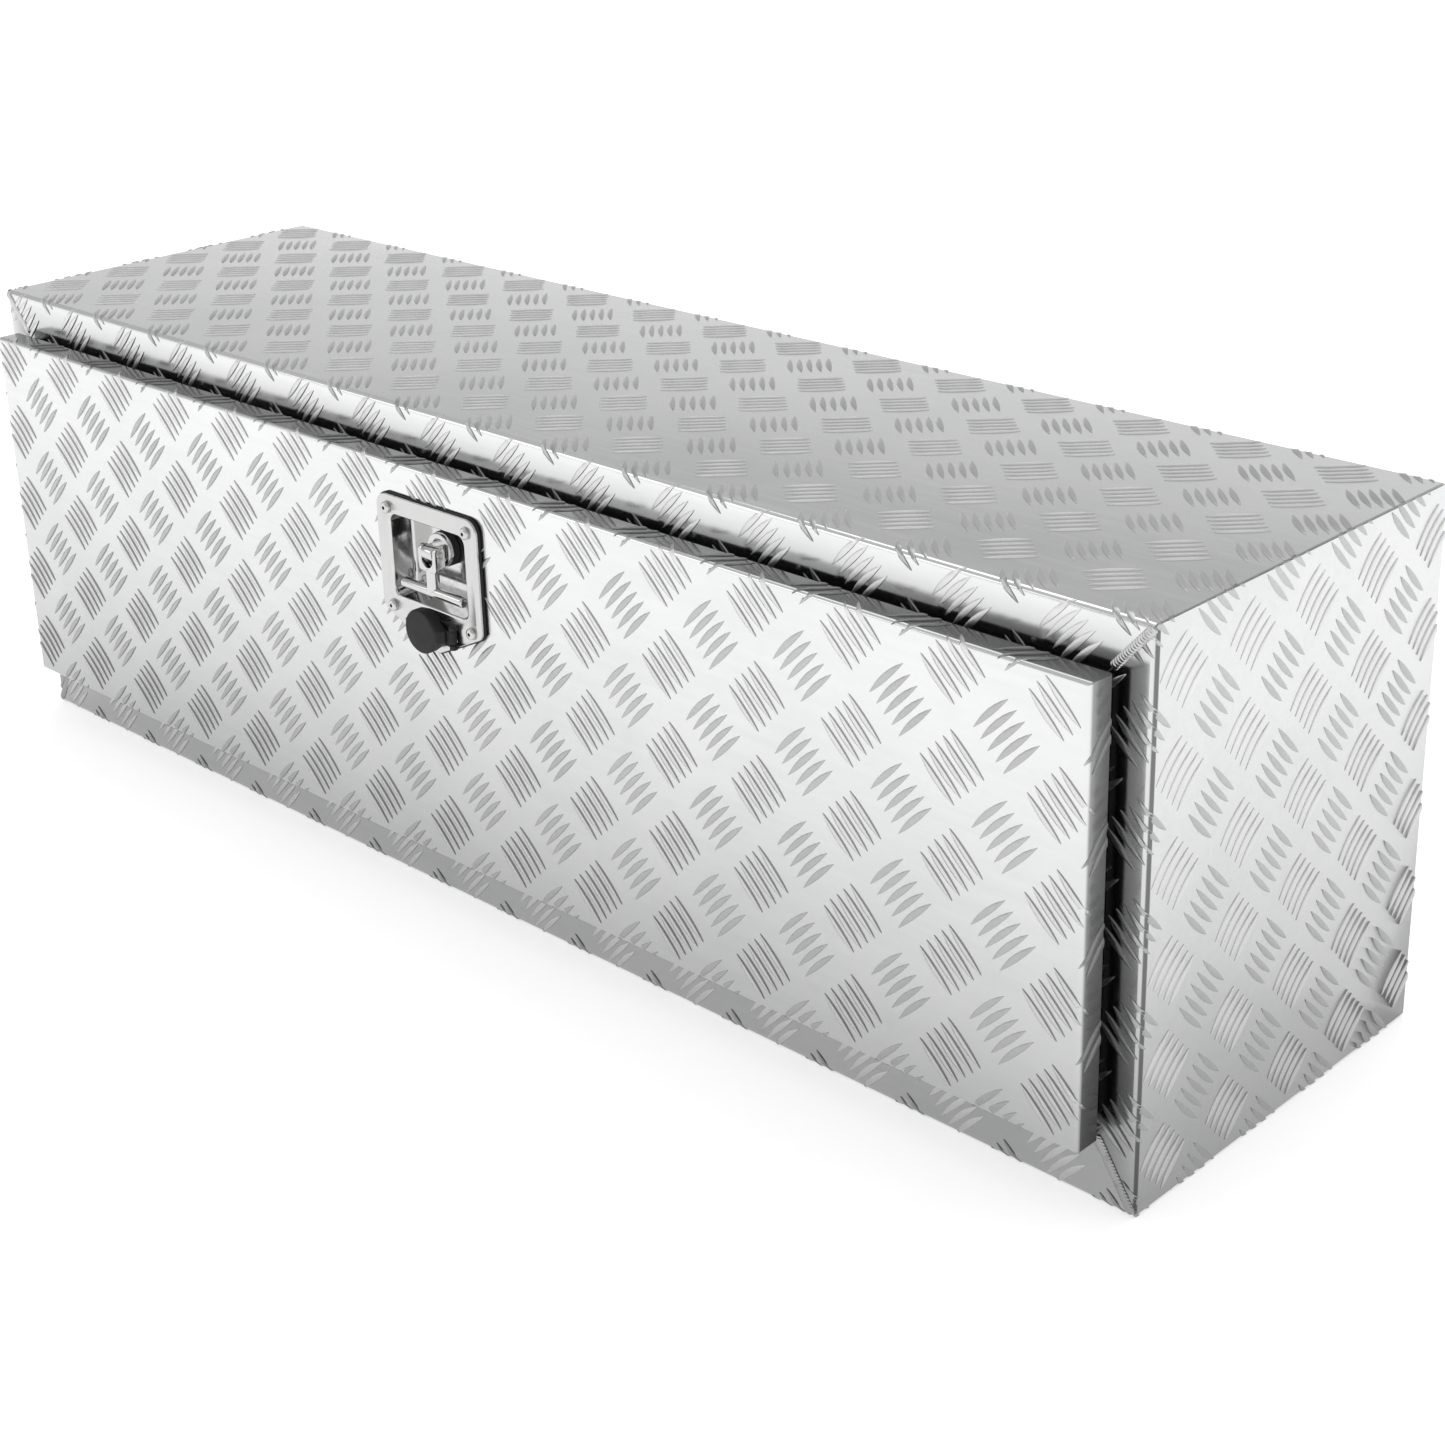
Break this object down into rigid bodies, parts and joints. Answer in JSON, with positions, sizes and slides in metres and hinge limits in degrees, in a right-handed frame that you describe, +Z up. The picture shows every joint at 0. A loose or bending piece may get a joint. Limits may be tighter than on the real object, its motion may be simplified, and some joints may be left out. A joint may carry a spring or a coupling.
{
  "type": "truck tool box",
  "caption": "Underbody truck tool box in tread-plate aluminium with a drop-down front door, slotted stays, a recessed folding T-handle latch and a capped key lock.",
  "frame": {"origin": "centre of the body's bottom face", "axes": "+X along the box to the viewer's right when facing the door, -Y out of the door, +Z up"},
  "size_m": [1.22, 0.37, 0.395],
  "materials": {
    "tread_plate": "bright five-bar tread plate",
    "mill_aluminium": "smooth mill sheet",
    "weld_metal": "rippled weld bead",
    "stainless_steel": "satin stainless steel",
    "polished_steel": "polished steel",
    "zinc_steel": "bright zinc plate",
    "seal_rubber": "matt black rubber",
    "cap_rubber": "fine-grained black rubber",
    "lock_brass": "nickel-washed brass"
  },
  "bodies": {
    "box": {"body_shell": "tread_plate", "left_end_panel": "tread_plate", "right_end_panel": "tread_plate", "corner_weld_top_left": "weld_metal", "corner_weld_top_right": "weld_metal", "corner_weld_bottom_left": "weld_metal", "corner_weld_bottom_right": "weld_metal", "door_seal": "seal_rubber", "hinge_body_leaf": "stainless_steel", "hinge_pin": "zinc_steel", "strike_plate": "zinc_steel", "left_stay_stud": "zinc_steel", "right_stay_stud": "zinc_steel", "left_stay_nut": "zinc_steel", "right_stay_nut": "zinc_steel"},
    "door": {"door_panel": "tread_plate", "door_liner": "mill_aluminium", "hinge_door_leaf": "stainless_steel", "left_stay_bracket": "zinc_steel", "right_stay_bracket": "zinc_steel", "left_stay_rivet": "zinc_steel", "right_stay_rivet": "zinc_steel", "latch_gasket": "seal_rubber", "latch_dish": "stainless_steel", "plate_screw_1": "stainless_steel", "plate_screw_2": "stainless_steel", "plate_screw_3": "stainless_steel", "plate_screw_4": "stainless_steel", "plate_nut_1": "zinc_steel", "plate_nut_2": "zinc_steel", "plate_nut_3": "zinc_steel", "plate_nut_4": "zinc_steel", "spindle_housing": "zinc_steel", "housing_screw_left": "zinc_steel", "housing_screw_right": "zinc_steel", "spindle_ring": "seal_rubber", "lock_cylinder": "stainless_steel", "lock_nut": "zinc_steel", "cap_collar": "cap_rubber", "cap_pin": "zinc_steel"},
    "left_stay": {"left_stay_arm": "zinc_steel"},
    "right_stay": {"right_stay_arm": "zinc_steel"},
    "spindle": {"spindle": "polished_steel", "cam": "zinc_steel", "cam_washer": "zinc_steel", "cam_nut": "zinc_steel"},
    "handle": {"handle_fork": "polished_steel", "handle_pin": "polished_steel", "t_bar": "polished_steel"},
    "lock_plug": {"lock_plug": "lock_brass", "lock_tail": "zinc_steel"},
    "lock_cap": {"lock_cap": "cap_rubber"}
  },
  "joints": [
    {"name": "door_hinge", "type": "hinge", "parent": "box", "child": "door", "pos_m": [0, -0.167, 0.0445], "axis": [1, 0, 0], "range_deg": [0, 90]},
    {"name": "left_stay_swing", "type": "hinge", "parent": "door", "child": "left_stay", "pos_m": [-0.5585, -0.177, 0.23424], "axis": [1, 0, 0], "range_deg": [-45, 0]},
    {"name": "right_stay_swing", "type": "hinge", "parent": "door", "child": "right_stay", "pos_m": [0.5585, -0.177, 0.23424], "axis": [1, 0, 0], "range_deg": [-45, 0]},
    {"name": "handle_turn", "type": "hinge", "parent": "door", "child": "spindle", "pos_m": [0, -0.1914, 0.3012], "axis": [0, -1, 0], "range_deg": [0, 90]},
    {"name": "handle_fold", "type": "hinge", "parent": "spindle", "child": "handle", "pos_m": [0, -0.1914, 0.3012], "axis": [-1, 0, 0], "range_deg": [0, 90]},
    {"name": "key_turn", "type": "hinge", "parent": "door", "child": "lock_plug", "pos_m": [0, -0.1951, 0.244], "axis": [0, 1, 0], "range_deg": [0, 90]},
    {"name": "cap_flip", "type": "hinge", "parent": "door", "child": "lock_cap", "pos_m": [0.028, -0.1989, 0.244], "axis": [0, 0, 1], "range_deg": [0, 100]}
  ],
  "couplings": [
    {"joint": "left_stay_swing", "follows": "door_hinge", "ratio": -0.5},
    {"joint": "right_stay_swing", "follows": "door_hinge", "ratio": -0.5},
    {"joint": "handle_turn", "follows": "handle_fold", "ratio": 1}
  ]
}
